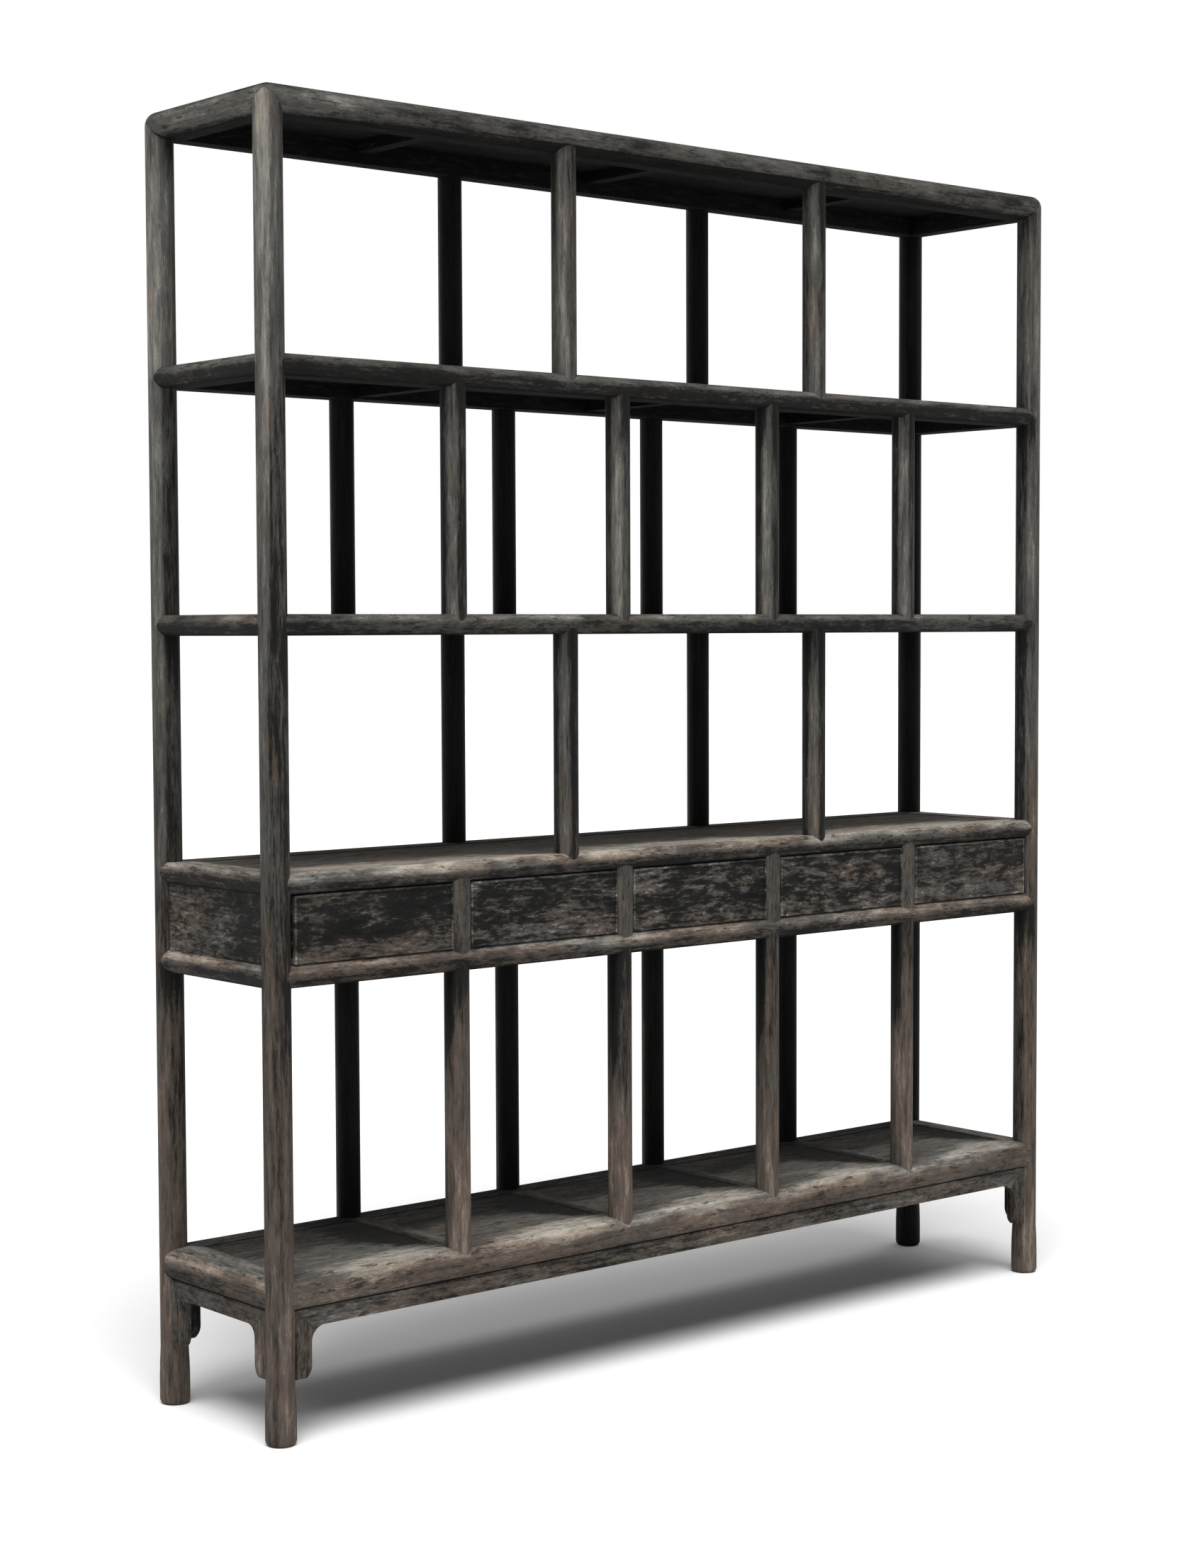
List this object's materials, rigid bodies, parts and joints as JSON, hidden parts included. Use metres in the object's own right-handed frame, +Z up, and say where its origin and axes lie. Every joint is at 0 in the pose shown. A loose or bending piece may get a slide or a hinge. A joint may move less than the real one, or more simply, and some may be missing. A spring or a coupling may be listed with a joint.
{
  "type": "bookcase",
  "caption": "Tall open bookcase with round posts, framed shelves whose bays are parted by round uprights, and a row of flush drawers in a low case.",
  "frame": {"origin": "on the floor, under the middle of the case: the centre of the bounding box at its base", "axes": "+Z up, the longest way; the front with the drawer fronts faces -Y; +X is to the right seen from the front"},
  "size_m": [1.889, 0.3788, 2.2],
  "materials": {
    "post_lacquer": "worn satin black lacquer over elm, rubbed through in long streaks",
    "rail_lacquer": "worn satin black lacquer over elm, rubbed pale along the rounded edges",
    "panel_lacquer": "satin black lacquer over elm",
    "drawer_lacquer": "flaked satin black lacquer over elm, grey-tan where it has gone",
    "bare_elm": "unlacquered old elm, matt"
  },
  "bodies": {
    "root": {"apron_front": "rail_lacquer", "apron_left": "rail_lacquer", "apron_rear": "rail_lacquer", "apron_right": "rail_lacquer", "back_stiles": "rail_lacquer", "base_cross_rails": "rail_lacquer", "base_panels": "panel_lacquer", "base_rail_front": "rail_lacquer", "base_rail_rear": "rail_lacquer", "base_rails_ends": "rail_lacquer", "case_back_panels": "panel_lacquer", "case_side_left": "panel_lacquer", "case_side_right": "panel_lacquer", "case_top_battens": "panel_lacquer", "case_top_panel": "panel_lacquer", "case_top_rail_front": "rail_lacquer", "case_top_rail_rear": "rail_lacquer", "case_top_rails_ends": "rail_lacquer", "drawer_floor_battens": "panel_lacquer", "drawer_floor_panel": "panel_lacquer", "drawer_floor_rail_front": "drawer_lacquer", "drawer_floor_rail_rear": "rail_lacquer", "drawer_floor_rails_ends": "rail_lacquer", "drawer_guides": "bare_elm", "drawer_stiles": "rail_lacquer", "post_front_left": "post_lacquer", "post_front_right": "post_lacquer", "post_rear_left": "post_lacquer", "post_rear_right": "post_lacquer", "row_1_uprights": "post_lacquer", "row_2_uprights": "post_lacquer", "row_3_uprights": "post_lacquer", "row_4_uprights": "post_lacquer", "shelf_1_battens": "panel_lacquer", "shelf_1_panel": "panel_lacquer", "shelf_1_rail_front": "rail_lacquer", "shelf_1_rail_rear": "rail_lacquer", "shelf_1_rails_ends": "rail_lacquer", "shelf_2_battens": "panel_lacquer", "shelf_2_panel": "panel_lacquer", "shelf_2_rail_front": "rail_lacquer", "shelf_2_rail_rear": "rail_lacquer", "shelf_2_rails_ends": "rail_lacquer", "top_battens": "panel_lacquer", "top_panel": "panel_lacquer", "top_rail_front": "rail_lacquer", "top_rail_rear": "rail_lacquer", "top_rails_ends": "rail_lacquer"},
    "drawer_1": {"drawer_1_front": "drawer_lacquer", "drawer_1_box": "bare_elm"},
    "drawer_2": {"drawer_2_front": "drawer_lacquer", "drawer_2_box": "bare_elm"},
    "drawer_3": {"drawer_3_front": "drawer_lacquer", "drawer_3_box": "bare_elm"},
    "drawer_4": {"drawer_4_front": "drawer_lacquer", "drawer_4_box": "bare_elm"},
    "drawer_5": {"drawer_5_front": "drawer_lacquer", "drawer_5_box": "bare_elm"}
  },
  "joints": [
    {"name": "drawer_1_slide", "type": "slide", "parent": "root", "child": "drawer_1", "axis": [0, -1, 0], "range_m": [0, 0.26]},
    {"name": "drawer_2_slide", "type": "slide", "parent": "root", "child": "drawer_2", "axis": [0, -1, 0], "range_m": [0, 0.26]},
    {"name": "drawer_3_slide", "type": "slide", "parent": "root", "child": "drawer_3", "axis": [0, -1, 0], "range_m": [0, 0.26]},
    {"name": "drawer_4_slide", "type": "slide", "parent": "root", "child": "drawer_4", "axis": [0, -1, 0], "range_m": [0, 0.26]},
    {"name": "drawer_5_slide", "type": "slide", "parent": "root", "child": "drawer_5", "axis": [0, -1, 0], "range_m": [0, 0.26]}
  ]
}
